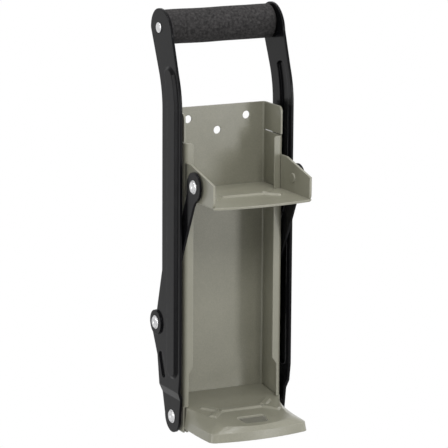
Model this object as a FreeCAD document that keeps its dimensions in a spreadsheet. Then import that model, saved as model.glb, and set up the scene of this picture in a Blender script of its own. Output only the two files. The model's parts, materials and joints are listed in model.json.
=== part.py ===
import FreeCAD, Part
import math
import os
import Sketcher

# Wall mounted lever can crusher for cans up to half a litre.
# X is the width, the front faces -Y, Z is up. The origin lies on the wall plane, mid width,
# at the height of the lower pivot that the two levers turn on.

SIZES = [
    # body, a folded sheet channel
    ("body_width", 94.2, "outside the two flanges"),
    ("body_sheet", 1.6, "sheet thickness"),
    ("bend_inside", 1.8, "inside radius of the two long bends"),
    ("flange_depth", 34.7, "wall plane to the front of the lips"),
    ("body_top", 268.0, "top edge of the back plate"),
    ("body_bottom", -12.0, "bottom edge of the back plate"),
    ("lip_width", 8.4, "in-turned lips that guide the ram"),
    ("lip_narrow", 4.3, "width of the lips beside the foot"),
    ("lip_step", 46.0, "where the lips start to narrow"),
    ("lip_step_fall", 6.0, "height of the sloped step"),
    ("lip_round", 3.0, "rounded upper corner of the lips"),
    ("slit_level", 243.0, "underside of the slit above the lips"),
    ("slit_width", 0.8, "height of the slit"),
    ("flange_round", 4.5, "rounded top corner of the flanges"),
    ("wall_hole", 7.0, "screw hole diameter"),
    ("upper_hole_spacing", 56.0, "between the two upper holes"),
    ("upper_hole_level", 257.3, "height of the upper holes"),
    ("lower_hole_level", 246.0, "height of the middle hole"),
    # foot, a pressed pan that the can stands on
    ("foot_sheet", 1.8, "sheet thickness"),
    ("foot_gap", 0.3, "clearance to the channel's back and lips"),
    ("foot_side_gap", 0.8, "clearance to the channel's flanges"),
    ("foot_back_level", 14.4, "top of the foot at the wall plane"),
    ("foot_front_level", 3.4, "top of the foot at its front"),
    ("foot_depth", 93.0, "wall plane to the front of the skirt"),
    ("foot_width", 94.0, "across the front of the skirt"),
    ("foot_bow", 4.5, "how far the front bows out"),
    ("foot_side_round", 320.0, "plan radius of the bowed sides"),
    ("foot_rim_level", 0.0, "where the sloping shoulder meets the skirt"),
    ("foot_rim_inset", 1.0, "how far the rim lies inside the skirt"),
    ("foot_rim_round", 6.5, "plan radius of the rim's corners"),
    ("foot_shoulder", 20.0, "how far the shoulder reaches in at the corners"),
    ("foot_shoulder_round", 16.0, "plan radius of the shoulder's inner corners"),
    ("foot_skirt_bottom", -7.5, "lower edge of the skirt"),
    ("foot_wall_bottom", -11.5, "lower edge of the side walls"),
    ("foot_web_front", 45.0, "wall plane to the stiffening web"),
    ("foot_web_width", 80.0, "length of the stiffening web"),
    ("drain_width", 28.0, "drain slot along X"),
    ("drain_depth", 15.0, "drain slot along Y"),
    ("drain_front", 82.5, "wall plane to the front of the drain slot"),
    ("drain_slant", 3.5, "how far the slot's ends lean in"),
    ("drain_round", 3.0, "rounded corners of the slot"),
    # ram, the pressed plate that slides down on the can
    ("ram_sheet", 2.0, "sheet thickness"),
    ("ram_level", 195.0, "underside of the ram with the handle up"),
    ("ram_front", 88.5, "wall plane to the front corners"),
    ("ram_bow", 4.5, "how far the front edge bows out"),
    ("ram_width", 93.2, "outside the two ears"),
    ("ram_gap", 0.5, "sliding clearance in the channel"),
    ("ram_corner", 5.0, "plan radius of the rear tabs"),
    ("ear_height", 31.5, "underside of the ram to the top of the ears"),
    ("ear_front_height", 21.0, "underside of the ram to the front corner"),
    ("ear_flat", 10.0, "length of the level top of the ears"),
    ("ear_fold", 2.6, "outside radius of the folds"),
    ("ear_front_round", 6.5, "rounded lower front corner"),
    # raised ribs pressed into the ram and the foot
    ("rib_height", 1.5, "how far the ribs stand up"),
    ("rib_width", 8.0, "width of each rib"),
    ("rib_span", 42.0, "length of the cross rib"),
    ("rib_leg", 17.0, "length of each slanted leg"),
    ("rib_centre", 50.0, "wall plane to the middle of the cross rib"),
    # pivots, as distances in front of the wall and heights
    ("pivot_front", 20.0, "lower lever pivot in front of the wall"),
    ("crank_back", 5.5, "link pin of the levers behind the wall plane"),
    ("crank_level", 79.0, "height of the link pin of the levers"),
    ("ear_pin_front", 58.0, "link pin of the ram in front of the wall"),
    ("ear_pin_rise", 15.0, "link pin of the ram above its underside"),
    ("handle_back", 1.5, "handle axis behind the wall plane"),
    ("handle_level", 338.0, "height of the handle axis"),
    # levers, pressed sheet with an offset lower end, a long hollow rib and a rear gusset
    ("lever_sheet", 2.2, "sheet thickness"),
    ("lever_front", 40.0, "front edge in front of the wall"),
    ("lever_rear", 5.0, "rear edge in front of the wall"),
    ("lever_foot_round", 14.0, "radius of the lower end"),
    ("lever_step_level", 19.0, "where the sheet steps outwards"),
    ("lever_step_rise", 7.0, "height of the sloped step"),
    ("lever_front_level", 40.0, "height where the front edge runs straight"),
    ("neck_level", 270.0, "height where the levers bend back"),
    ("neck_rise", 32.0, "height of the bend"),
    ("neck_shift", 6.6, "how far the bend moves the sheet back"),
    ("neck_round", 80.0, "radius of the bend"),
    ("head_round", 16.5, "rear radius of the upper end"),
    ("head_front_round", 24.0, "front radius of the upper end"),
    ("head_front", 24.5, "front of the upper end from the handle axis"),
    ("head_drop", 5.5, "front of the upper end below the handle axis"),
    ("gusset_top", 128.0, "upper end of the rear gusset"),
    ("gusset_low", 50.0, "lower corner of the rear gusset"),
    ("gusset_foot", 22.0, "lower end of the rear gusset"),
    ("boss_round", 11.0, "radius of the raised boss"),
    ("boss_height", 1.5, "how far the boss stands out"),
    ("groove_width", 19.0, "width of the long rib of the levers"),
    ("groove_height", 2.2, "how far the long rib stands out"),
    ("groove_edge", 4.5, "front edge of the sheet to the long rib"),
    ("groove_low", 41.0, "lower end of the straight rib"),
    ("groove_cap", 11.0, "radius of the rib's ends"),
    ("dimple_width", 8.0, "width of the pressed dimple"),
    ("dimple_length", 17.0, "between the dimple's centres"),
    ("dimple_depth", 1.3, "depth of the dimple"),
    # links between the levers and the ram
    ("link_sheet", 2.0, "sheet thickness"),
    ("link_ear_round", 12.5, "radius of the upper end"),
    ("link_crank_round", 10.5, "radius of the lower end"),
    ("link_waist", 15.0, "width between the ends"),
    ("link_throat", 18.0, "radius where the ends meet the waist"),
    ("link_gap", 1.2, "body flange to the links"),
    ("lever_gap", 1.7, "links to the levers"),
    # rivets, washers and spacers
    ("washer_sheet", 2.4, "spacer washer between lever and body"),
    ("washer_round", 8.5, "radius of that washer"),
    ("rivet_shank", 3.5, "radius of the pivot rivets"),
    ("rivet_head", 5.9, "radius of the pivot heads"),
    ("rivet_fit", 0.08, "running fit of the rivets"),
    ("rivet_rise", 1.3, "height of the pivot heads"),
    ("rivet_dish", 2.4, "radius of the hollow in the heads"),
    ("rivet_dish_depth", 0.8, "depth of the hollow in the heads"),
    ("rivet_tail_rise", 0.8, "height of the inner heads"),
    ("rivet_tail_inset", 1.4, "how much smaller the inner heads are"),
    ("spacer_round", 7.0, "radius of the pivot spacers"),
    ("pin_gap", 0.2, "clearance at the ram pin between link and spacer"),
    # handle
    ("rod_round", 4.0, "radius of the handle rod"),
    ("rod_head", 4.6, "radius of the rod's riveted heads"),
    ("tube_round", 8.0, "radius of the spacer tube"),
    ("tube_wall", 1.5, "wall of the spacer tube"),
    ("foam_round", 15.0, "radius of the foam grip"),
    ("foam_gap", 0.6, "foam grip to the levers"),
    ("foam_soft", 2.5, "rounded ends of the foam grip"),
]


class Size:
    """A number with the sheet expression that it comes from."""

    def __init__(self, value, text):
        self.value = float(value)
        self.text = text

    @staticmethod
    def of(other):
        if isinstance(other, Size):
            return other
        return Size(other, repr(float(other)))

    def __add__(self, other):
        other = Size.of(other)
        return Size(self.value + other.value, "(%s + %s)" % (self.text, other.text))

    def __radd__(self, other):
        return Size.of(other) + self

    def __sub__(self, other):
        other = Size.of(other)
        return Size(self.value - other.value, "(%s - %s)" % (self.text, other.text))

    def __rsub__(self, other):
        return Size.of(other) - self

    def __mul__(self, other):
        other = Size.of(other)
        return Size(self.value * other.value, "(%s * %s)" % (self.text, other.text))

    def __rmul__(self, other):
        return Size.of(other) * self

    def __truediv__(self, other):
        other = Size.of(other)
        return Size(self.value / other.value, "(%s / %s)" % (self.text, other.text))

    def __neg__(self):
        return Size(-self.value, "(-1 * %s)" % self.text)


def length_of(across, up):
    """Length of the vector with these two components."""
    text = "sqrt(%s * %s + %s * %s)" % (across.text, across.text, up.text, up.text)
    return Size(math.hypot(across.value, up.value), text)


def widest(first, second):
    """The larger of two sizes."""
    return Size(max(first.value, second.value), "max(%s; %s)" % (first.text, second.text))


doc = FreeCAD.newDocument("can_crusher")


def fill_sheet():
    sheet = doc.addObject("Spreadsheet::Sheet", "Sizes")
    for row, (name, value, meaning) in enumerate(SIZES, start=1):
        sheet.set("A%d" % row, name)
        sheet.set("B%d" % row, str(value))
        sheet.set("C%d" % row, meaning)
        sheet.setAlias("B%d" % row, name)
    doc.recompute()
    return {name: Size(value, "Sizes." + name) for name, value, meaning in SIZES}


d = fill_sheet()


# Places worked out from the sizes

half_body = d["body_width"] / 2
channel_half = half_body - d["body_sheet"]
ear_outer = d["ram_width"] / 2
ear_inner = ear_outer - d["ram_sheet"]
link_inner = widest(half_body, ear_outer) + d["link_gap"]
link_outer = link_inner + d["link_sheet"]
lever_inner = link_outer + d["lever_gap"]
lever_outer = lever_inner + d["lever_sheet"]
end_inner = half_body + d["washer_sheet"]
end_outer = end_inner + d["lever_sheet"]
ram_top = d["ram_level"] + d["ram_sheet"]
ear_pin_level = d["ram_level"] + d["ear_pin_rise"]
foot_half = channel_half - d["foot_side_gap"]
foot_slope = (d["foot_back_level"] - d["foot_front_level"]) / d["foot_depth"]
foot_start = d["body_sheet"] + d["foot_gap"]
lip_back = d["flange_depth"] - d["body_sheet"]
lip_bottom = d["foot_back_level"] - foot_slope * lip_back + d["foot_gap"]
rivet_hole = d["rivet_shank"] + d["rivet_fit"]

PIVOT = (-d["pivot_front"], Size.of(0))
CRANK = (d["crank_back"], d["crank_level"])
EAR_PIN = (-d["ear_pin_front"], ear_pin_level)
HANDLE = (d["handle_back"], d["handle_level"])

BEYOND = 20.0
RIB_SLOPE = 48.0
RIB_LEG_ANGLE = math.radians(45)
DIMPLE_LEAN = math.radians(20.5)


# Helpers for sketches and features

def bind(target, prop, value):
    value = Size.of(value)
    if "Sizes." in value.text:
        target.setExpression(prop, value.text)
    return value.value


def origin_plane(body, role):
    return [item for item in body.Origin.OriginFeatures if item.Role == role][0]


def new_body(name):
    body = doc.addObject("PartDesign::Body", name)
    body.Label = name
    return body


def new_sketch(body, name, role, offset=0.0):
    """An empty sketch on an origin plane, moved along the plane's normal by offset."""
    sketch = body.newObject("Sketcher::SketchObject", name)
    sketch.AttachmentSupport = [(origin_plane(body, role), "")]
    sketch.MapMode = "FlatFace"
    offset = Size.of(offset)
    place = FreeCAD.Vector(0, 0, offset.value)
    sketch.AttachmentOffset = FreeCAD.Placement(place, FreeCAD.Rotation())
    bind(sketch, "AttachmentOffset.Base.z", offset)
    return sketch


def constrain(sketch, kind, geometry, point, value):
    """Ties one coordinate of a point to a size, or to an axis where it is zero."""
    value = Size.of(value)
    if abs(value.value) < 1e-9 and "Sizes." not in value.text:
        axis = -2 if kind == "DistanceX" else -1
        sketch.addConstraint(Sketcher.Constraint("PointOnObject", geometry, point, axis))
        return
    made = Sketcher.Constraint(kind, -1, 1, geometry, point, value.value)
    index = sketch.addConstraint(made)
    bind(sketch, "Constraints[%d]" % index, value)


def arc_between(start, end, radius, turn):
    """The shorter arc from start to end, anticlockwise where turn is 1."""
    chord = end - start
    half = chord.Length / 2
    rise = math.sqrt(max(radius * radius - half * half, 0.0))
    left = FreeCAD.Vector(-chord.y, chord.x, 0).normalize()
    centre = (start + end) * 0.5 + left * (rise * turn)
    circle = Part.Circle(centre, FreeCAD.Vector(0, 0, 1), radius)
    first, last = (start, end) if turn > 0 else (end, start)
    from_angle = math.atan2(first.y - centre.y, first.x - centre.x)
    to_angle = math.atan2(last.y - centre.y, last.x - centre.x)
    return Part.ArcOfCircle(circle, from_angle, to_angle)


def draw_outline(sketch, corners):
    """A closed outline. A corner is (x, y) for a line to it, or (x, y, radius, turn) for an arc to it."""
    count = len(corners)
    spots = [FreeCAD.Vector(Size.of(c[0]).value, Size.of(c[1]).value, 0) for c in corners]
    ends = []
    for index in range(count):
        start = spots[index]
        target = corners[(index + 1) % count]
        end = spots[(index + 1) % count]
        if len(target) == 2:
            geometry = sketch.addGeometry(Part.LineSegment(start, end))
            ends.append((geometry, 1, 2))
        else:
            radius = Size.of(target[2])
            turn = target[3]
            geometry = sketch.addGeometry(arc_between(start, end, radius.value, turn))
            ends.append((geometry, 1, 2) if turn > 0 else (geometry, 2, 1))
            made = Sketcher.Constraint("Radius", geometry, radius.value)
            bind(sketch, "Constraints[%d]" % sketch.addConstraint(made), radius)
    for index in range(count):
        geometry, first, last = ends[index]
        after, after_first, after_last = ends[(index + 1) % count]
        joint = Sketcher.Constraint("Coincident", geometry, last, after, after_first)
        sketch.addConstraint(joint)
        constrain(sketch, "DistanceX", geometry, first, corners[index][0])
        constrain(sketch, "DistanceY", geometry, first, corners[index][1])


def draw_circle(sketch, x, y, radius):
    radius = Size.of(radius)
    centre = FreeCAD.Vector(Size.of(x).value, Size.of(y).value, 0)
    circle = Part.Circle(centre, FreeCAD.Vector(0, 0, 1), radius.value)
    geometry = sketch.addGeometry(circle)
    constrain(sketch, "DistanceX", geometry, 3, x)
    constrain(sketch, "DistanceY", geometry, 3, y)
    made = Sketcher.Constraint("Radius", geometry, radius.value)
    bind(sketch, "Constraints[%d]" % sketch.addConstraint(made), radius)


def rectangle(low_x, low_y, high_x, high_y):
    return [(low_x, low_y), (high_x, low_y), (high_x, high_y), (low_x, high_y)]


def add_pad(body, name, sketch, length):
    pad = body.newObject("PartDesign::Pad", name)
    pad.Profile = sketch
    pad.Length = Size.of(length).value
    bind(pad, "Length", length)
    doc.recompute()
    return pad


def add_pocket(body, name, sketch, length, along_normal=False):
    """Cuts against the sketch's normal, or along it, and makes sure that something was cut."""
    before = body.Tip.Shape.Volume
    pocket = body.newObject("PartDesign::Pocket", name)
    pocket.Profile = sketch
    pocket.Length = Size.of(length).value
    pocket.Reversed = along_normal
    bind(pocket, "Length", length)
    doc.recompute()
    if pocket.Shape.Volume >= before - 1e-6:
        raise RuntimeError(name + " cuts nothing")
    return pocket


def edges_where(feature, test):
    """Names of the feature's straight edges whose two ends pass the test."""
    names = []
    for index, edge in enumerate(feature.Shape.Edges, start=1):
        if len(edge.Vertexes) != 2:
            continue
        if test(edge.Vertexes[0].Point, edge.Vertexes[1].Point):
            names.append("Edge%d" % index)
    return names


def add_fillet(body, name, radius, test):
    base = body.Tip
    names = edges_where(base, test)
    fillet = body.newObject("PartDesign::Fillet", name)
    fillet.Base = (base, names)
    fillet.Radius = Size.of(radius).value
    bind(fillet, "Radius", radius)
    doc.recompute()
    return fillet


def near(first, second):
    return abs(first - Size.of(second).value) < 1e-3


def mirrored(source, name):
    copy = doc.addObject("Part::Mirroring", name)
    copy.Label = name
    copy.Source = source
    copy.Base = FreeCAD.Vector(0, 0, 0)
    copy.Normal = FreeCAD.Vector(1, 0, 0)
    return copy


def boolean(kind, name, base, tool):
    made = doc.addObject("Part::" + kind, name)
    made.Label = name
    made.Base = base
    made.Tool = tool
    doc.recompute()
    return made


def place_bound(item, x, y, z):
    item.Placement.Base = FreeCAD.Vector(Size.of(x).value, Size.of(y).value, Size.of(z).value)
    bind(item, "Placement.Base.x", x)
    bind(item, "Placement.Base.y", y)
    bind(item, "Placement.Base.z", z)


def turned(name, centre, profile):
    """A turned piece: a profile of (x, radius) points spun about the X line through centre."""
    body = new_body(name)
    sketch = new_sketch(body, name + "_profile", "XZ_Plane")
    draw_outline(sketch, profile)
    spin = body.newObject("PartDesign::Revolution", name + "_spin")
    spin.Profile = sketch
    spin.ReferenceAxis = (sketch, ["H_Axis"])
    spin.Angle = 360.0
    place_bound(body, 0, centre[0], centre[1])
    doc.recompute()
    return body


# Body channel

def make_body_channel():
    body = new_body("body_channel")
    sheet = d["body_sheet"]
    front = -d["flange_depth"]
    edge = front + sheet
    inside = d["bend_inside"]
    outside = inside + sheet
    fold = front + outside
    section = new_sketch(body, "channel_section", "XY_Plane", d["body_bottom"])
    draw_outline(section, [
        (-half_body, edge),
        (-channel_half, edge),
        (-channel_half, -outside),
        (-half_body + outside, -sheet, inside, -1),
        (half_body - outside, -sheet),
        (channel_half, -outside, inside, -1),
        (channel_half, edge),
        (half_body, edge),
        (half_body, -outside),
        (half_body - outside, 0, outside, 1),
        (-half_body + outside, 0),
        (-half_body, -outside, outside, 1),
    ])
    add_pad(body, "channel", section, d["body_top"] - d["body_bottom"])

    slit = new_sketch(body, "slit_outline", "YZ_Plane", -half_body)
    slit_top = d["slit_level"] + d["slit_width"]
    draw_outline(slit, [
        (front, lip_bottom),
        (fold, lip_bottom),
        (fold, d["slit_level"]),
        (-sheet * 1.3, d["slit_level"]),
        (-sheet * 1.3, slit_top),
        (front, slit_top),
    ])
    add_pocket(body, "slits", slit, d["body_width"], along_normal=True)

    wide = half_body - d["lip_width"]
    for side in (-1, 1):
        lip = new_sketch(body, "lip_section_%d" % (side + 1), "XY_Plane", lip_bottom)
        draw_outline(lip, [
            (side * half_body, fold, outside, side),
            (side * channel_half, fold),
            (side * (half_body - outside), edge, inside, -side),
            (side * wide, edge),
            (side * wide, front),
            (side * (half_body - outside), front),
        ])
        add_pad(body, "lip_%d" % (side + 1), lip, d["slit_level"] - lip_bottom)

    narrow = half_body - d["lip_narrow"]
    step_low = d["lip_step"] - d["lip_step_fall"]
    for side in (-1, 1):
        step = new_sketch(body, "lip_step_%d" % (side + 1), "XZ_Plane", -edge)
        draw_outline(step, [
            (side * (wide - 1), lip_bottom - 1),
            (side * narrow, lip_bottom - 1),
            (side * narrow, step_low),
            (side * wide, d["lip_step"]),
            (side * (wide - 1), d["lip_step"]),
        ])
        add_pocket(body, "lip_narrowing_%d" % (side + 1), step, sheet, along_normal=True)

    holes = new_sketch(body, "wall_holes", "XZ_Plane")
    draw_circle(holes, -d["upper_hole_spacing"] / 2, d["upper_hole_level"], d["wall_hole"] / 2)
    draw_circle(holes, d["upper_hole_spacing"] / 2, d["upper_hole_level"], d["wall_hole"] / 2)
    draw_circle(holes, 0, d["lower_hole_level"], d["wall_hole"] / 2)
    add_pocket(body, "screw_holes", holes, sheet, along_normal=True)

    pivots = new_sketch(body, "pivot_holes", "YZ_Plane", -half_body)
    draw_circle(pivots, PIVOT[0], PIVOT[1], rivet_hole)
    add_pocket(body, "pivot_bores", pivots, d["body_width"], along_normal=True)

    add_fillet(body, "flange_corners", d["flange_round"], lambda a, b: (
        near(a.y, edge) and near(b.y, edge) and near(a.z, d["body_top"]) and near(b.z, d["body_top"])))
    add_fillet(body, "lip_corners", d["lip_round"], lambda a, b: (
        near(abs(a.x), wide) and near(abs(b.x), wide) and near(a.z, d["slit_level"]) and near(b.z, d["slit_level"])))
    return body


# Foot

def foot_level(depth):
    """Height of the foot's sloping top at this depth in front of the wall plane."""
    return d["foot_back_level"] - foot_slope * depth


def foot_outline(rear_half, front_half, depth, corner):
    """Plan of the foot in front of the channel, with bowed sides, round corners and a bowed front."""
    start = -(d["flange_depth"] + d["foot_gap"])
    reach = front_half - corner
    bow = d["foot_bow"]
    front_round = (reach * reach + bow * bow) / (2 * bow)
    side_round = d["foot_side_round"]
    return [
        (-rear_half, start),
        (-front_half, -depth + corner, side_round, 1),
        (-reach, -depth, corner, 1),
        (reach, -depth, front_round, 1),
        (front_half, -depth + corner, corner, 1),
        (rear_half, start, side_round, 1),
    ]


def foot_block(name, inset):
    """The foot as a solid lump, smaller by inset on every side but the underside."""
    body = new_body(name)
    below = inset * 3
    rear_half = foot_half - inset
    high = d["foot_back_level"] + 2
    corner = d["bend_inside"] + 0.4
    start = d["flange_depth"] + d["foot_gap"]

    rear = new_sketch(body, name + "_rear", "XY_Plane", d["foot_wall_bottom"] - below)
    draw_outline(rear, [
        (-rear_half, -start - inset * 2),
        (rear_half, -start - inset * 2),
        (rear_half, -foot_start - inset - corner),
        (rear_half - corner, -foot_start - inset, corner, 1),
        (-rear_half + corner, -foot_start - inset),
        (-rear_half, -foot_start - inset - corner, corner, 1),
    ])
    add_pad(body, name + "_rear_block", rear, high - d["foot_wall_bottom"] + below)

    half = d["foot_width"] / 2
    depth = d["foot_depth"] - d["foot_bow"]
    rim = d["foot_rim_inset"]
    reach = d["foot_shoulder"]
    levels = [
        ("skirt", d["foot_skirt_bottom"] - below, half - inset, half - inset, depth - inset, d["foot_rim_round"]),
        ("rim", d["foot_rim_level"] - inset, half - rim - inset, half - rim - inset, depth - rim - inset,
         d["foot_rim_round"]),
        ("shoulder", foot_level(start) - inset, half - rim * 2 - inset, half - reach - inset,
         depth - reach * 0.5 - inset, d["foot_shoulder_round"]),
    ]
    sketches = []
    for tag, level, rear_reach, front_reach, deep, round_corner in levels:
        sketch = new_sketch(body, "%s_%s" % (name, tag), "XY_Plane", level)
        draw_outline(sketch, foot_outline(rear_reach, front_reach, deep, round_corner - inset))
        sketches.append(sketch)
    loft = body.newObject("PartDesign::AdditiveLoft", name + "_flare")
    loft.Profile = sketches[0]
    loft.Sections = sketches[1:]
    loft.Ruled = True
    doc.recompute()

    slope = new_sketch(body, name + "_slope", "YZ_Plane", -d["foot_width"])
    far = d["foot_depth"] + BEYOND
    draw_outline(slope, [
        (0, foot_level(Size.of(0)) - inset),
        (-far, foot_level(far) - inset),
        (-far, high + BEYOND),
        (0, high + BEYOND),
    ])
    add_pocket(body, name + "_slope_cut", slope, d["foot_width"] * 2, along_normal=True)
    return body


def make_ribs(name):
    """Cross rib with two slanted legs at each end, on the XY plane around the origin."""
    body = new_body(name)
    half = d["rib_width"] / 2
    reach = d["rib_span"] / 2
    leg = d["rib_leg"]
    lean = math.sin(RIB_LEG_ANGLE)
    for side in (-1, 1):
        for front in (-1, 1):
            tag = "%s_leg_%d%d" % (name, side + 1, front + 1)
            sketch = new_sketch(body, tag, "XY_Plane", -0.3)
            root_x = side * reach
            tip_x = side * (reach + leg * lean)
            tip_y = front * leg * lean
            wide = half * lean
            corners = [
                (root_x + side * wide, -front * wide),
                (tip_x + side * wide, tip_y - front * wide),
                (tip_x - side * wide, tip_y + front * wide),
                (root_x - side * wide, front * wide),
            ]
            draw_outline(sketch, corners)
            add_pad(body, tag + "_bar", sketch, d["rib_height"] + 0.3).TaperAngle = -RIB_SLOPE
    cross = new_sketch(body, name + "_cross", "XY_Plane", -0.3)
    draw_outline(cross, rectangle(-reach, -half, reach, half))
    add_pad(body, name + "_cross_bar", cross, d["rib_height"] + 0.3).TaperAngle = -RIB_SLOPE
    doc.recompute()
    return body


def make_foot_plate():
    outer = foot_block("foot_outer", Size.of(0))
    inner = foot_block("foot_inner", d["foot_sheet"])
    shell = boolean("Cut", "foot_shell", outer, inner)

    drain = new_body("foot_drain")
    front = -d["drain_front"]
    back = front + d["drain_depth"]
    reach = d["drain_width"] / 2
    slant = d["drain_slant"]
    outline = new_sketch(drain, "drain_outline", "XY_Plane", d["foot_skirt_bottom"])
    draw_outline(outline, [(-reach + slant, front), (reach - slant, front), (reach, back), (-reach, back)])
    add_pad(drain, "drain", outline, d["foot_back_level"] - d["foot_skirt_bottom"])
    add_fillet(drain, "drain_corners", d["drain_round"], lambda a, b: abs(a.z - b.z) > 5)
    drained = boolean("Cut", "foot_drained", shell, drain)

    web = new_body("foot_web")
    outline = new_sketch(web, "web_outline", "XZ_Plane", d["foot_web_front"])
    run = d["foot_web_width"] / 2
    top = foot_level(d["foot_web_front"]) - d["foot_sheet"] * 0.6
    draw_outline(outline, rectangle(-run, d["foot_skirt_bottom"], run, top))
    add_pad(web, "web", outline, d["foot_sheet"])
    stiffened = boolean("Fuse", "foot_stiffened", drained, web)

    bores = new_body("foot_bores")
    outline = new_sketch(bores, "foot_bore_outline", "YZ_Plane", -half_body)
    draw_circle(outline, PIVOT[0], PIVOT[1], rivet_hole)
    add_pad(bores, "foot_bore", outline, d["body_width"])
    bored = boolean("Cut", "foot_bored", stiffened, bores)

    ribs = make_ribs("foot_ribs")
    place_bound(ribs, 0, -d["rib_centre"], foot_level(d["rib_centre"]))
    tilt = Size(math.degrees(math.atan(foot_slope.value)), "atan(%s)" % foot_slope.text)
    ribs.Placement.Rotation = FreeCAD.Rotation(FreeCAD.Vector(1, 0, 0), tilt.value)
    bind(ribs, "Placement.Rotation.Angle", tilt)
    return boolean("Fuse", "foot_plate", bored, ribs)


# Ram

def make_ram_plate():
    body = new_body("ram_blank")
    sheet = d["ram_sheet"]
    gap = d["ram_gap"]
    back = -d["body_sheet"] - gap
    tab_half = channel_half - gap
    tab_front = -(lip_back - gap)
    neck_half = half_body - d["lip_width"] - gap
    wide_back = -(d["flange_depth"] + gap)
    front = -d["ram_front"]
    corner = d["ram_corner"]
    fold = d["bend_inside"] + 0.4
    bow = d["ram_bow"]
    front_round = (ear_outer * ear_outer + bow * bow) / (2 * bow)
    plan = new_sketch(body, "ram_plan", "XY_Plane", d["ram_level"])
    draw_outline(plan, [
        (-ear_outer, front),
        (ear_outer, front, front_round, 1),
        (ear_outer, wide_back),
        (neck_half, wide_back),
        (neck_half, tab_front),
        (tab_half - fold, tab_front),
        (tab_half, tab_front + fold, fold, 1),
        (tab_half, back - corner),
        (tab_half - corner, back, corner, 1),
        (-tab_half + corner, back),
        (-tab_half, back - corner, corner, 1),
        (-tab_half, tab_front + fold),
        (-tab_half + fold, tab_front, fold, 1),
        (-neck_half, tab_front),
        (-neck_half, wide_back),
        (-ear_outer, wide_back),
    ])
    add_pad(body, "ram_floor", plan, sheet)

    level = d["ram_level"]
    for side in (-1, 1):
        start = -ear_outer if side < 0 else ear_inner
        ear = new_sketch(body, "ear_outline_%d" % (side + 1), "YZ_Plane", start)
        round_front = d["ear_front_round"]
        draw_outline(ear, [
            (wide_back, level),
            (wide_back, level + d["ear_height"]),
            (wide_back - d["ear_flat"], level + d["ear_height"]),
            (front, level + d["ear_front_height"]),
            (front, level + round_front),
            (front + round_front, level, round_front, 1),
        ])
        add_pad(body, "ear_%d" % (side + 1), ear, sheet)

    pins = new_sketch(body, "ear_pin_holes", "YZ_Plane", -ear_outer)
    draw_circle(pins, EAR_PIN[0], EAR_PIN[1], rivet_hole)
    add_pocket(body, "ear_pin_bores", pins, d["ram_width"], along_normal=True)

    add_fillet(body, "ear_folds", d["ear_fold"], lambda a, b: (
        near(abs(a.x), ear_outer) and near(abs(b.x), ear_outer) and near(a.z, level) and near(b.z, level)
        and abs(a.y - b.y) > 20))

    ribs = make_ribs("ram_ribs")
    place_bound(ribs, 0, -d["rib_centre"], ram_top)
    return boolean("Fuse", "ram_plate", body, ribs)


# Levers

def make_lever_right():
    body = new_body("lever_right")
    front = -d["lever_front"]
    rear = -d["lever_rear"]
    pivot_y = PIVOT[0]
    foot = d["lever_foot_round"]
    neck = d["neck_level"]
    neck_top = neck + d["neck_rise"]
    shift = d["neck_shift"]
    head_y, head_z = HANDLE
    boss = d["boss_round"]
    outline = new_sketch(body, "lever_outline", "YZ_Plane", end_inner)
    draw_outline(outline, [
        (pivot_y - foot, 0),
        (pivot_y, -foot, foot, 1),
        (pivot_y + foot, 0, foot, 1),
        (CRANK[0] - boss * 0.5, d["gusset_foot"]),
        (CRANK[0] - boss * 0.1, d["gusset_low"]),
        (CRANK[0] + boss * 0.75, CRANK[1] - boss * 0.95),
        (CRANK[0] + boss, CRANK[1], boss * 1.6, 1),
        (CRANK[0], CRANK[1] + boss, boss, 1),
        (rear, d["gusset_top"]),
        (rear, neck),
        (rear + shift + 1.0, neck_top, d["neck_round"], -1),
        (head_y + d["head_round"], head_z - 2),
        (head_y, head_z + d["head_round"], d["head_round"] + 0.6, 1),
        (head_y - d["head_front"], head_z - d["head_drop"], d["head_front_round"], 1),
        (front + shift, neck_top),
        (front, neck, d["neck_round"], 1),
        (front, d["lever_front_level"]),
    ])
    add_pad(body, "lever_blank", outline, lever_outer - end_inner)

    step = d["lever_step_level"]
    rise = d["lever_step_rise"]
    inside = new_sketch(body, "inside_step", "XZ_Plane", d["lever_front"] + BEYOND)
    top = head_z + d["head_round"] + BEYOND
    draw_outline(inside, [
        (end_inner - 1, step),
        (end_inner, step),
        (lever_inner, step + rise),
        (lever_inner, top),
        (end_inner - 1, top),
    ])
    add_pocket(body, "inside_cut", inside, d["lever_front"] + BEYOND * 3)
    outside = new_sketch(body, "outside_step", "XZ_Plane", d["lever_front"] + BEYOND)
    lag = d["lever_sheet"] * 0.55
    draw_outline(outside, [
        (end_outer, -foot - BEYOND),
        (lever_outer + 1, -foot - BEYOND),
        (lever_outer + 1, step + rise - lag),
        (lever_outer, step + rise - lag),
        (end_outer, step - lag),
    ])
    add_pocket(body, "outside_cut", outside, d["lever_front"] + BEYOND * 3)

    wall = d["lever_sheet"] * 0.9
    add_groove(body, "rib_outer", lever_outer, Size.of(0), d["groove_height"], False)
    add_groove(body, "rib_inner", lever_inner, wall, d["groove_height"], True)

    disc = new_sketch(body, "boss_outline", "YZ_Plane", lever_outer)
    draw_circle(disc, CRANK[0], CRANK[1], boss - 0.2)
    add_pad(body, "boss", disc, d["boss_height"])
    cup = new_sketch(body, "boss_cup_outline", "YZ_Plane", lever_inner)
    draw_circle(cup, CRANK[0], CRANK[1], boss - d["lever_sheet"])
    add_pocket(body, "boss_cup", cup, d["boss_height"], along_normal=True)

    add_dimple(body)

    bores = new_sketch(body, "lever_bore_outline", "YZ_Plane", end_inner)
    draw_circle(bores, PIVOT[0], PIVOT[1], rivet_hole)
    draw_circle(bores, CRANK[0], CRANK[1], rivet_hole)
    draw_circle(bores, head_y, head_z, d["rod_round"] + d["rivet_fit"])
    add_pocket(body, "lever_bores", bores, lever_outer + d["groove_height"] - end_inner + 1, along_normal=True)
    return body


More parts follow.
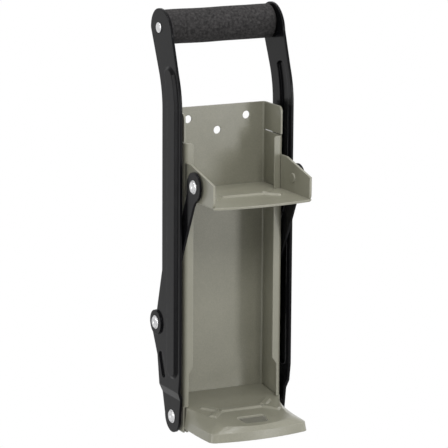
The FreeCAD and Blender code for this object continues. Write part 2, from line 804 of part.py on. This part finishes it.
def add_groove(body, name, start, inset, height, cut):
    """The long rib along the lever: raised outside, hollow inside."""
    front = -d["lever_front"] + d["groove_edge"] + inset
    rear = -d["lever_front"] + d["groove_edge"] + d["groove_width"] - inset
    neck = d["neck_level"]
    neck_top = neck + d["neck_rise"]
    shift = d["neck_shift"]
    low = d["groove_low"]
    cap = d["groove_cap"] - inset
    sketch = new_sketch(body, name + "_outline", "YZ_Plane", start)
    draw_outline(sketch, [
        (front, low),
        (rear, low, cap, 1),
        (rear, neck),
        (rear + shift, neck_top, d["neck_round"], -1),
        (front + shift, neck_top, cap, 1),
        (front, neck, d["neck_round"], 1),
    ])
    if cut:
        return add_pocket(body, name, sketch, height, along_normal=True)
    pad = add_pad(body, name, sketch, height)
    pad.TaperAngle = -RIB_SLOPE
    doc.recompute()
    return pad


def add_dimple(body):
    """Slanted oval dimple pressed into the lower part of the gusset."""
    half = d["dimple_width"] / 2
    top_y = CRANK[0] - d["boss_round"] * 0.75
    top_z = CRANK[1] - d["boss_round"] * 2.5
    low_y = top_y - d["dimple_length"] * math.sin(DIMPLE_LEAN)
    low_z = top_z - d["dimple_length"] * math.cos(DIMPLE_LEAN)
    side_y = half * math.cos(DIMPLE_LEAN)
    side_z = half * math.sin(DIMPLE_LEAN)
    sketch = new_sketch(body, "dimple_outline", "YZ_Plane", lever_outer)
    draw_outline(sketch, [
        (top_y + side_y, top_z - side_z),
        (top_y - side_y, top_z + side_z, half * 1.02, 1),
        (low_y - side_y, low_z + side_z),
        (low_y + side_y, low_z - side_z, half * 1.02, 1),
    ])
    add_pocket(body, "dimple", sketch, d["dimple_depth"])


# Links

def make_link_right():
    """The link drawn upright with its lower pin at the origin, then leaned towards the ram pin."""
    body = new_body("link_right")
    length = length_of(CRANK[0] - EAR_PIN[0], EAR_PIN[1] - CRANK[1])
    half = d["link_waist"] / 2
    waist = new_sketch(body, "link_waist_outline", "YZ_Plane", link_inner)
    draw_outline(waist, rectangle(-half, 0, half, length))
    add_pad(body, "link_waist", waist, d["link_sheet"])
    for name, level, radius in (("crank", Size.of(0), d["link_crank_round"]), ("ear", length, d["link_ear_round"])):
        disc = new_sketch(body, "link_%s_outline" % name, "YZ_Plane", link_inner)
        draw_circle(disc, 0, level, radius)
        add_pad(body, "link_%s_end" % name, disc, d["link_sheet"])
    bores = new_sketch(body, "link_bore_outline", "YZ_Plane", link_inner)
    draw_circle(bores, 0, 0, rivet_hole)
    draw_circle(bores, 0, length, rivet_hole)
    add_pocket(body, "link_bores", bores, d["link_sheet"], along_normal=True)
    add_fillet(body, "link_throats", d["link_throat"], lambda a, b: (
        abs(a.x - b.x) > 1 and near(abs(a.y), half) and near(abs(b.y), half)))
    lean = math.degrees(math.atan2((CRANK[0] - EAR_PIN[0]).value, (EAR_PIN[1] - CRANK[1]).value))
    across = CRANK[0] - EAR_PIN[0]
    lean = Size(lean, "atan2(%s; %s)" % (across.text, (EAR_PIN[1] - CRANK[1]).text))
    body.Placement.Rotation = FreeCAD.Rotation(FreeCAD.Vector(1, 0, 0), lean.value)
    place_bound(body, 0, CRANK[0], CRANK[1])
    bind(body, "Placement.Rotation.Angle", lean)
    return body


# Rivets, washers and spacers

def head_profile(seat, head, shank, rise, dish):
    """Outer head of a rivet from its dished middle to its seat, as (x, radius) points."""
    round_edge = rise * 0.8
    return [
        (seat + rise - d["rivet_dish_depth"], 0),
        (seat + rise - d["rivet_dish_depth"], dish * 0.7),
        (seat + rise, dish),
        (seat + rise, head - round_edge),
        (seat + rise - round_edge, head, round_edge, -1),
        (seat, head),
        (seat, shank),
    ]


def make_pivot_rivet(name, centre, seat, tail_seat):
    """A semi-tubular rivet: outer head on seat, formed inner head on tail_seat."""
    head = d["rivet_head"]
    shank = d["rivet_shank"]
    tail = head - d["rivet_tail_inset"]
    profile = head_profile(seat, head, shank, d["rivet_rise"], d["rivet_dish"])
    profile += [
        (tail_seat, shank),
        (tail_seat, tail),
        (tail_seat - d["rivet_tail_rise"], tail - 0.6),
        (tail_seat - d["rivet_tail_rise"], 0),
    ]
    return turned(name, centre, profile)


def make_ring(name, centre, low, high, bore, outer):
    return turned(name, centre, [(low, bore), (high, bore), (high, outer), (low, outer)])


def make_side_pieces():
    """Everything that sits on the right side; the left side is its mirror image."""
    boss_face = lever_outer + d["boss_height"]
    cup_face = lever_inner + d["boss_height"]
    foot_wall = foot_half - d["foot_sheet"]
    shank = d["rivet_shank"]
    ring_bore = rivet_hole
    spacer_end = link_inner - d["pin_gap"]

    pieces = [
        make_pivot_rivet("lower_rivet", PIVOT, end_outer, foot_wall),
        make_ring("lower_washer", PIVOT, half_body, end_inner, ring_bore, d["washer_round"]),
        make_pivot_rivet("link_rivet", CRANK, boss_face, link_inner),
        make_ring("link_spacer", CRANK, link_outer, cup_face, ring_bore, d["spacer_round"]),
    ]
    head = head_profile(link_outer, d["rivet_head"], shank, d["rivet_rise"], d["rivet_dish"])
    pieces.append(turned("ram_rivet", EAR_PIN, head + [(link_inner, shank), (link_inner, 0)]))
    tail = d["rivet_head"] - d["rivet_tail_inset"]
    pieces.append(turned("ram_rivet_tail", EAR_PIN, [
        (spacer_end, 0),
        (spacer_end, shank),
        (ear_inner, shank),
        (ear_inner, tail),
        (ear_inner - d["rivet_tail_rise"], tail - 0.6),
        (ear_inner - d["rivet_tail_rise"], 0),
    ]))
    pieces.append(make_ring("ram_spacer", EAR_PIN, ear_outer, spacer_end, ring_bore, d["spacer_round"]))
    for piece in pieces:
        piece.Label = piece.Name + "_right"
    return pieces


# Handle

def make_handle():
    rod = d["rod_round"]
    head = d["rod_head"]
    rise = d["rivet_rise"]
    round_edge = rise * 0.7
    handle_rod = turned("handle_rod", HANDLE, [
        (-lever_outer - rise, 0),
        (lever_outer + rise, 0),
        (lever_outer + rise, head - round_edge),
        (lever_outer + rise - round_edge, head, round_edge, 1),
        (lever_outer, head),
        (lever_outer, rod),
        (-lever_outer, rod),
        (-lever_outer, head),
        (-lever_outer - rise + round_edge, head),
        (-lever_outer - rise, head - round_edge, round_edge, 1),
    ])
    tube = make_ring("handle_tube", HANDLE, -lever_inner, lever_inner,
                     d["tube_round"] - d["tube_wall"], d["tube_round"])
    foam_end = lever_inner - d["foam_gap"]
    soft = d["foam_soft"]
    outer = d["foam_round"]
    foam = turned("foam_grip", HANDLE, [
        (-foam_end, d["tube_round"] + 0.05),
        (foam_end, d["tube_round"] + 0.05),
        (foam_end, outer - soft),
        (foam_end - soft, outer, soft, 1),
        (-foam_end + soft, outer),
        (-foam_end, outer - soft, soft, 1),
    ])
    return [handle_rod, tube, foam]


def make_nodes():
    nodes = [make_body_channel(), make_foot_plate(), make_ram_plate()]
    nodes += make_handle()
    right = [make_lever_right(), make_link_right()] + make_side_pieces()
    doc.recompute()
    left = [mirrored(piece, piece.Label.replace("_right", "_left")) for piece in right]
    return nodes + right + left


def check_document():
    faults = []
    for item in doc.Objects:
        if "Invalid" in item.State or "Error" in item.State:
            faults.append(item.Name + " " + " ".join(item.State))
    return faults


def write_nodes(nodes):
    os.makedirs("parts", exist_ok=True)
    for node in nodes:
        shape = node.Shape
        if shape.isNull() or not shape.isValid() or len(shape.Solids) != 1:
            raise RuntimeError("%s has %d solids" % (node.Label, len(shape.Solids)))
    for node in nodes:
        node.Shape.exportStep("parts/%s.step" % node.Label)
        print("%-24s %9.1f mm3" % (node.Label, node.Shape.Volume))


all_nodes = make_nodes()
doc.recompute()
problems = check_document()
if problems:
    raise RuntimeError("; ".join(problems))
write_nodes(all_nodes)
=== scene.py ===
import json
import math
import bmesh
import bpy
from mathutils import Matrix, Vector


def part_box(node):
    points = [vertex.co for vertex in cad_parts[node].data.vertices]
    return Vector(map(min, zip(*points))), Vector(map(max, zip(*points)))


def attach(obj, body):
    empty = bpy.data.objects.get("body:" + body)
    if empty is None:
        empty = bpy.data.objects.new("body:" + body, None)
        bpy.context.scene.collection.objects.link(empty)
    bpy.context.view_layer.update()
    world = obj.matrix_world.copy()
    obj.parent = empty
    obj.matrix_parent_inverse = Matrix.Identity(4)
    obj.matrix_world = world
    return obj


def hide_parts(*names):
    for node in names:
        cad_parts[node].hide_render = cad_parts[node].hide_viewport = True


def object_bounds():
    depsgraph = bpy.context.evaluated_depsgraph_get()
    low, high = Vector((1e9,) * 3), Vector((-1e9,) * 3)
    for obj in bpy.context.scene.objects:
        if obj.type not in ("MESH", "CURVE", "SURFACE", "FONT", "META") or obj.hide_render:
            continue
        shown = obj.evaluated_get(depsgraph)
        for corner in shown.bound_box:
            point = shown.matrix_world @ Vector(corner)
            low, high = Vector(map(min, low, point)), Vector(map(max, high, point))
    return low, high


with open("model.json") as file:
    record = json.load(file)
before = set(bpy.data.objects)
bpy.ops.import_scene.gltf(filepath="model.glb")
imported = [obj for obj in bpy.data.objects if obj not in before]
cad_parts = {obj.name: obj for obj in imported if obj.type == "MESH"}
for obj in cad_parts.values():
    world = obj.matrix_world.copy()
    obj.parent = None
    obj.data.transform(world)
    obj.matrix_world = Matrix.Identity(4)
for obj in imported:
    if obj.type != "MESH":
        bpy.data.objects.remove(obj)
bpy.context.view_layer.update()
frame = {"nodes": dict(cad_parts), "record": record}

# Looks of a wall mounted lever can crusher: grey powder coated body, foot and ram, black levers
# and links, zinc plated rivets and a charcoal foam grip. Metres, +Z up, the front faces -Y.

MM = 0.001
NODES = frame["nodes"]

PHOTO_SIZE = 448
FOCAL_PIXELS = 2800.0
SENSOR_MM = 36.0
CAMERA_PLACE = Vector((-1.06026, -2.13719, 0.67902))
CAMERA_RIGHT = Vector((0.89508, -0.44586, 0.00609))
CAMERA_UP = Vector((0.08904, 0.19210, 0.97733))
CAMERA_BACK = Vector((-0.43692, -0.87425, 0.21164))


# Share of the lighter edge colour, a painted highlight, mixed into the paint along edges.
EDGE_HIGHLIGHT_SHARE = 0.55
EDGE_SAMPLES = 6
GRIP_RIPPLES = ((3, 90, 0.12 * MM), (5, -140, 0.1 * MM))
GRIP_ROLL = 2.6 * MM
GRIP_BORE = 8.3 * MM
GRIP_BORE_INSET = 0.4 * MM
GRIP_INSET = 0.15 * MM
FLOOR_REACH = 8.0
FLOOR_DROP = 15 * MM


def add_object(name, data):
    made = bpy.data.objects.new(name, data)
    bpy.context.scene.collection.objects.link(made)
    return made


# Material helpers

def new_material(name):
    material = bpy.data.materials.new(name)
    material.use_nodes = True
    tree = material.node_tree
    return material, tree, tree.nodes["Principled BSDF"]


def add_node(tree, kind, **values):
    node = tree.nodes.new(kind)
    for name, value in values.items():
        setattr(node, name, value)
    return node


def set_inputs(node, **values):
    for name, value in values.items():
        node.inputs[name.replace("_", " ")].default_value = value
    return node


def noise(tree, scale, detail=4.0, roughness=0.5):
    """Noise in object coordinates, which are metres in the part's own frame."""
    place = tree.nodes.get("Place") or add_node(tree, "ShaderNodeTexCoord", name="Place")
    made = add_node(tree, "ShaderNodeTexNoise")
    set_inputs(made, Scale=scale, Detail=detail, Roughness=roughness)
    tree.links.new(place.outputs["Object"], made.inputs["Vector"])
    return made.outputs["Fac"]


def ramp(tree, source, stops):
    """A colour ramp from (position, colour) stops; a plain number stands for a grey."""
    made = add_node(tree, "ShaderNodeValToRGB")
    elements = made.color_ramp.elements
    while len(elements) < len(stops):
        elements.new(0.5)
    for element, (position, colour) in zip(elements, stops):
        element.position = position
        if not isinstance(colour, tuple):
            colour = (colour, colour, colour)
        element.color = (*colour, 1.0)
    tree.links.new(source, made.inputs["Fac"])
    return made.outputs["Color"]


def mix_colours(tree, kind, amount, first, second):
    made = add_node(tree, "ShaderNodeMix", data_type="RGBA", blend_type=kind)
    made.inputs["Factor"].default_value = amount
    for socket, value in ((made.inputs["A"], first), (made.inputs["B"], second)):
        if isinstance(value, tuple):
            socket.default_value = (*value, 1.0)
        else:
            tree.links.new(value, socket)
    return made.outputs["Result"]


def add_bevel(tree, radius):
    bevel = add_node(tree, "ShaderNodeBevel", samples=EDGE_SAMPLES)
    return set_inputs(bevel, Radius=radius)


def edge_mask(tree, radius, low, high):
    """White along edges, where a bevelled normal departs from the true one."""
    bevel = add_bevel(tree, radius)
    flat = add_node(tree, "ShaderNodeNewGeometry")
    dot = add_node(tree, "ShaderNodeVectorMath", operation="DOT_PRODUCT")
    tree.links.new(bevel.outputs["Normal"], dot.inputs[0])
    tree.links.new(flat.outputs["Normal"], dot.inputs[1])
    made = add_node(tree, "ShaderNodeMapRange")
    set_inputs(made, From_Min=high, From_Max=low)
    tree.links.new(dot.outputs["Value"], made.inputs["Value"])
    return made.outputs["Result"]


def add_bump(tree, shader, height, strength, distance, soften=0.0):
    bump = add_node(tree, "ShaderNodeBump")
    set_inputs(bump, Strength=strength, Distance=distance)
    tree.links.new(height, bump.inputs["Height"])
    if soften > 0:
        bevel = add_bevel(tree, soften)
        tree.links.new(bevel.outputs["Normal"], bump.inputs["Normal"])
    tree.links.new(bump.outputs["Normal"], shader.inputs["Normal"])


def powder_coat(name, base, edge_highlight_colour, speckle, roughness, edge_radius, coat, gloss, peel):
    """Powder coated steel: fine orange peel, faint speckle and edges lightened by a painted highlight."""
    material, tree, shader = new_material(name)
    darker = tuple(part * (1 - speckle) for part in base)
    lighter = tuple(part * (1 + speckle) for part in base)
    dust = ramp(tree, noise(tree, 1500.0, 2.0), [(0.35, darker), (0.68, lighter)])
    clouds = ramp(tree, noise(tree, 26.0, 5.0, 0.6), [(0.3, 0.9), (0.7, 1.0)])
    coated = mix_colours(tree, "MULTIPLY", 1.0, dust, clouds)
    # Painted highlight: the colour goes lighter along edges, where the edge mask is high.
    colour = mix_colours(tree, "MIX", 0.0, coated, edge_highlight_colour)
    edge_highlight = add_node(tree, "ShaderNodeMath", operation="MULTIPLY")
    edge_highlight.inputs[1].default_value = EDGE_HIGHLIGHT_SHARE
    tree.links.new(edge_mask(tree, edge_radius, 0.8, 0.985), edge_highlight.inputs[0])
    tree.links.new(edge_highlight.outputs["Value"], colour.node.inputs["Factor"])
    tree.links.new(colour, shader.inputs["Base Color"])
    sheen = ramp(tree, noise(tree, 60.0, 3.0), [(0.3, roughness - 0.05), (0.7, roughness + 0.05)])
    tree.links.new(sheen, shader.inputs["Roughness"])
    set_inputs(shader, Specular_IOR_Level=gloss, Coat_Weight=coat, Coat_Roughness=0.25)
    add_bump(tree, shader, noise(tree, 700.0, 2.0), peel, 0.0004, edge_radius)
    return material


def zinc_plate():
    """Bright zinc plate, slightly cloudy."""
    material, tree, shader = new_material("zinc plate")
    colour = ramp(tree, noise(tree, 240.0, 4.0), [(0.3, (0.52, 0.52, 0.53)), (0.7, (0.72, 0.72, 0.72))])
    tree.links.new(colour, shader.inputs["Base Color"])
    sheen = ramp(tree, noise(tree, 500.0, 3.0), [(0.3, 0.22), (0.7, 0.38)])
    tree.links.new(sheen, shader.inputs["Roughness"])
    set_inputs(shader, Metallic=1.0)
    add_bump(tree, shader, noise(tree, 900.0, 2.0), 0.15, 0.0002, 0.0003)
    return material


def foam():
    """Closed cell foam: charcoal, matt, fine pores over soft mottling."""
    material, tree, shader = new_material("foam")
    pores = noise(tree, 420.0, 6.0, 0.65)
    mottling = ramp(tree, pores, [(0.36, (0.01, 0.0095, 0.0096)), (0.66, (0.052, 0.049, 0.049))])
    broad = ramp(tree, noise(tree, 40.0, 3.0), [(0.3, 0.82), (0.7, 1.0)])
    colour = mix_colours(tree, "MULTIPLY", 1.0, mottling, broad)
    tree.links.new(colour, shader.inputs["Base Color"])
    set_inputs(shader, Roughness=0.9, Specular_IOR_Level=0.25)
    add_bump(tree, shader, noise(tree, 1100.0, 5.0, 0.7), 0.55, 0.0008)
    return material


MATERIALS = {
    "grey_paint": powder_coat(
        "grey paint", base=(0.245, 0.239, 0.186), edge_highlight_colour=(0.44, 0.43, 0.36), speckle=0.08,
        roughness=0.33, edge_radius=0.001, coat=0.3, gloss=0.4, peel=0.12),
    "black_paint": powder_coat(
        "black paint", base=(0.004, 0.004, 0.0046), edge_highlight_colour=(0.013, 0.013, 0.015), speckle=0.15,
        roughness=0.22, edge_radius=0.001, coat=0.02, gloss=0.07, peel=0.03),
    "zinc_steel": zinc_plate(),
    "foam": foam(),
}


def paint_nodes():
    slots = {part["node"]: part["material_slot"] for part in frame["record"]["subparts"]}
    for name, node in NODES.items():
        node.data.materials.clear()
        node.data.materials.append(MATERIALS[slots[name]])


# Foam grip, a soft sleeve with rolled ends and a short nick near its right end

NICK_START = (28.0 * MM, math.radians(24))
NICK_END = (34.0 * MM, math.radians(-20))
NICK_WIDTH = 0.9 * MM
NICK_DEPTH = 0.9 * MM


def nick_depth(x, angle, radius):
    """Depth of the nick at this place on the grip; the angle is up from straight ahead."""
    start = Vector((NICK_START[0], NICK_START[1] * radius))
    along = Vector((NICK_END[0], NICK_END[1] * radius)) - start
    spot = Vector((x, angle * radius))
    share = min(max((spot - start).dot(along) / along.length_squared, 0.0), 1.0)
    away = (spot - start - along * share).length
    return NICK_DEPTH * max(0.0, 1 - away / NICK_WIDTH)


def make_grip():
    low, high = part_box("foam_grip")
    axis_y = (low.y + high.y) / 2
    axis_z = (low.z + high.z) / 2
    outer = (high.z - low.z) / 2
    half = (high.x - low.x) / 2
    around = 120
    along = 190
    arc_steps = 6
    mesh = bpy.data.meshes.new("grip")
    shape = bmesh.new()
    rings = []

    def ring(x, radius, swell):
        made = []
        for step in range(around):
            angle = 2 * math.pi * step / around - math.pi
            ripple = sum(depth * math.sin(waves * angle + x * twist) for waves, twist, depth in GRIP_RIPPLES)
            reach = radius + ripple * swell - nick_depth(x, angle, outer)
            spot = (x, axis_y - reach * math.cos(angle), axis_z + reach * math.sin(angle))
            made.append(shape.verts.new(spot))
        rings.append(made)

    def rolled_ring(side, bend):
        """A ring on the rounded end; bend goes from 0 on the end face to a right angle."""
        inward = GRIP_ROLL * (1 - math.cos(bend))
        ring(side * (half - inward), outer - GRIP_ROLL * (1 - math.sin(bend)), 0.5)

    ring(-half + GRIP_BORE_INSET, GRIP_BORE, 0.0)
    for step in range(arc_steps + 1):
        rolled_ring(-1, math.pi / 2 * step / arc_steps)
    straight = 2 * (half - GRIP_ROLL)
    for step in range(1, along):
        ring(-half + GRIP_ROLL + straight * step / along, outer - GRIP_INSET, 1.0)
    for step in range(arc_steps, -1, -1):
        rolled_ring(1, math.pi / 2 * step / arc_steps)
    ring(half - GRIP_BORE_INSET, GRIP_BORE, 0.0)
    for first, second in zip(rings, rings[1:] + rings[:1]):
        for step in range(around):
            after = (step + 1) % around
            shape.faces.new((first[step], first[after], second[after], second[step]))
    bmesh.ops.recalc_face_normals(shape, faces=shape.faces)
    for face in shape.faces:
        face.smooth = True
    shape.to_mesh(mesh)
    shape.free()
    grip = add_object("grip", mesh)
    grip.data.materials.append(MATERIALS["foam"])
    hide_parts("foam_grip")
    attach(grip, "lever")


# Studio

def background_rays(tree):
    """1 for rays that see the background itself, straight or mirrored, and 0 for rays that light the part."""
    seen = add_node(tree, "ShaderNodeLightPath")
    mirrored = add_node(tree, "ShaderNodeMath", operation="MAXIMUM")
    tree.links.new(seen.outputs["Is Glossy Ray"], mirrored.inputs[0])
    tree.links.new(seen.outputs["Is Transmission Ray"], mirrored.inputs[1])
    either = add_node(tree, "ShaderNodeMath", operation="MAXIMUM")
    tree.links.new(seen.outputs["Is Camera Ray"], either.inputs[0])
    tree.links.new(mirrored.outputs["Value"], either.inputs[1])
    return either.outputs["Value"]


def make_floor():
    """A pale floor that keeps the part's shadow and turns white further out.

    The tool hangs on a wall, so the floor lies below the lowest swing of the handle.
    """
    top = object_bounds()[1][2]
    level = -top - FLOOR_DROP
    mesh = bpy.data.meshes.new("floor")
    signs = [(-1, -1), (1, -1), (1, 1), (-1, 1)]
    corners = [(FLOOR_REACH * across, FLOOR_REACH * along, level) for across, along in signs]
    mesh.from_pydata(corners, [], [(0, 1, 2, 3)])
    floor = add_object("floor", mesh)
    material, tree, shader = new_material("floor white")
    tree.nodes.remove(shader)
    glow = add_node(tree, "ShaderNodeEmission")
    card = add_node(tree, "ShaderNodeBsdfDiffuse")
    card.inputs["Color"].default_value = (0.85, 0.85, 0.85, 1.0)
    spot = add_node(tree, "ShaderNodeTexCoord")
    away = add_node(tree, "ShaderNodeVectorMath", operation="LENGTH")
    tree.links.new(spot.outputs["Object"], away.inputs[0])
    fade = ramp(tree, away.outputs["Value"], [(0.37, 0.7), (0.8, 1.0)])
    share = add_node(tree, "ShaderNodeMath", operation="MULTIPLY")
    tree.links.new(background_rays(tree), share.inputs[0])
    tree.links.new(fade, share.inputs[1])
    blend = add_node(tree, "ShaderNodeMixShader")
    tree.links.new(share.outputs["Value"], blend.inputs["Fac"])
    tree.links.new(card.outputs["BSDF"], blend.inputs[1])
    tree.links.new(glow.outputs["Emission"], blend.inputs[2])
    tree.links.new(blend.outputs["Shader"], tree.nodes["Material Output"].inputs["Surface"])
    floor.data.materials.append(material)


def make_backdrop():
    world = bpy.data.worlds.new("studio")
    bpy.context.scene.world = world
    world.use_nodes = True
    tree = world.node_tree
    fill = tree.nodes["Background"]
    fill.inputs["Color"].default_value = (0.97, 0.98, 1.0, 1.0)
    fill.inputs["Strength"].default_value = 0.32
    white = add_node(tree, "ShaderNodeBackground")
    white.inputs["Color"].default_value = (1.0, 1.0, 1.0, 1.0)
    blend = add_node(tree, "ShaderNodeMixShader")
    tree.links.new(background_rays(tree), blend.inputs["Fac"])
    tree.links.new(fill.outputs["Background"], blend.inputs[1])
    tree.links.new(white.outputs["Background"], blend.inputs[2])
    tree.links.new(blend.outputs["Shader"], tree.nodes["World Output"].inputs["Surface"])


def add_area_light(name, place, aim, width, height, power):
    lamp = bpy.data.lights.new(name, "AREA")
    lamp.shape = "RECTANGLE"
    lamp.size = width
    lamp.size_y = height
    lamp.energy = power
    light = add_object(name, lamp)
    light.location = place
    light.rotation_euler = (Vector(aim) - Vector(place)).to_track_quat("-Z", "Y").to_euler()


def make_lights():
    aim = (0.0, -0.03, 0.16)
    add_area_light("key", (-0.35, -1.9, 1.7), aim, 1.0, 0.8, 24.0)
    add_area_light("plate sheen", (1.2, -2.2, 0.35), aim, 0.45, 0.9, 14.0)
    add_area_light("left strip", (-1.7, -0.5, 0.5), aim, 0.3, 1.6, 9.0)
    add_area_light("right strip", (1.5, -0.5, 0.6), aim, 0.3, 1.4, 6.0)
    add_area_light("top", (0.05, -0.15, 1.9), aim, 0.8, 0.7, 17.0)


def make_camera():
    lens = bpy.data.cameras.new("camera")
    lens.sensor_width = SENSOR_MM
    lens.lens = FOCAL_PIXELS / PHOTO_SIZE * SENSOR_MM
    lens.clip_end = 50.0
    camera = add_object("camera", lens)
    turn = Matrix((CAMERA_RIGHT, CAMERA_UP, CAMERA_BACK)).transposed()
    camera.matrix_world = Matrix.Translation(CAMERA_PLACE) @ turn.to_4x4()
    bpy.context.scene.camera = camera


paint_nodes()
make_grip()
make_floor()
make_backdrop()
make_lights()
make_camera()
bpy.context.scene.view_settings.view_transform = "Standard"
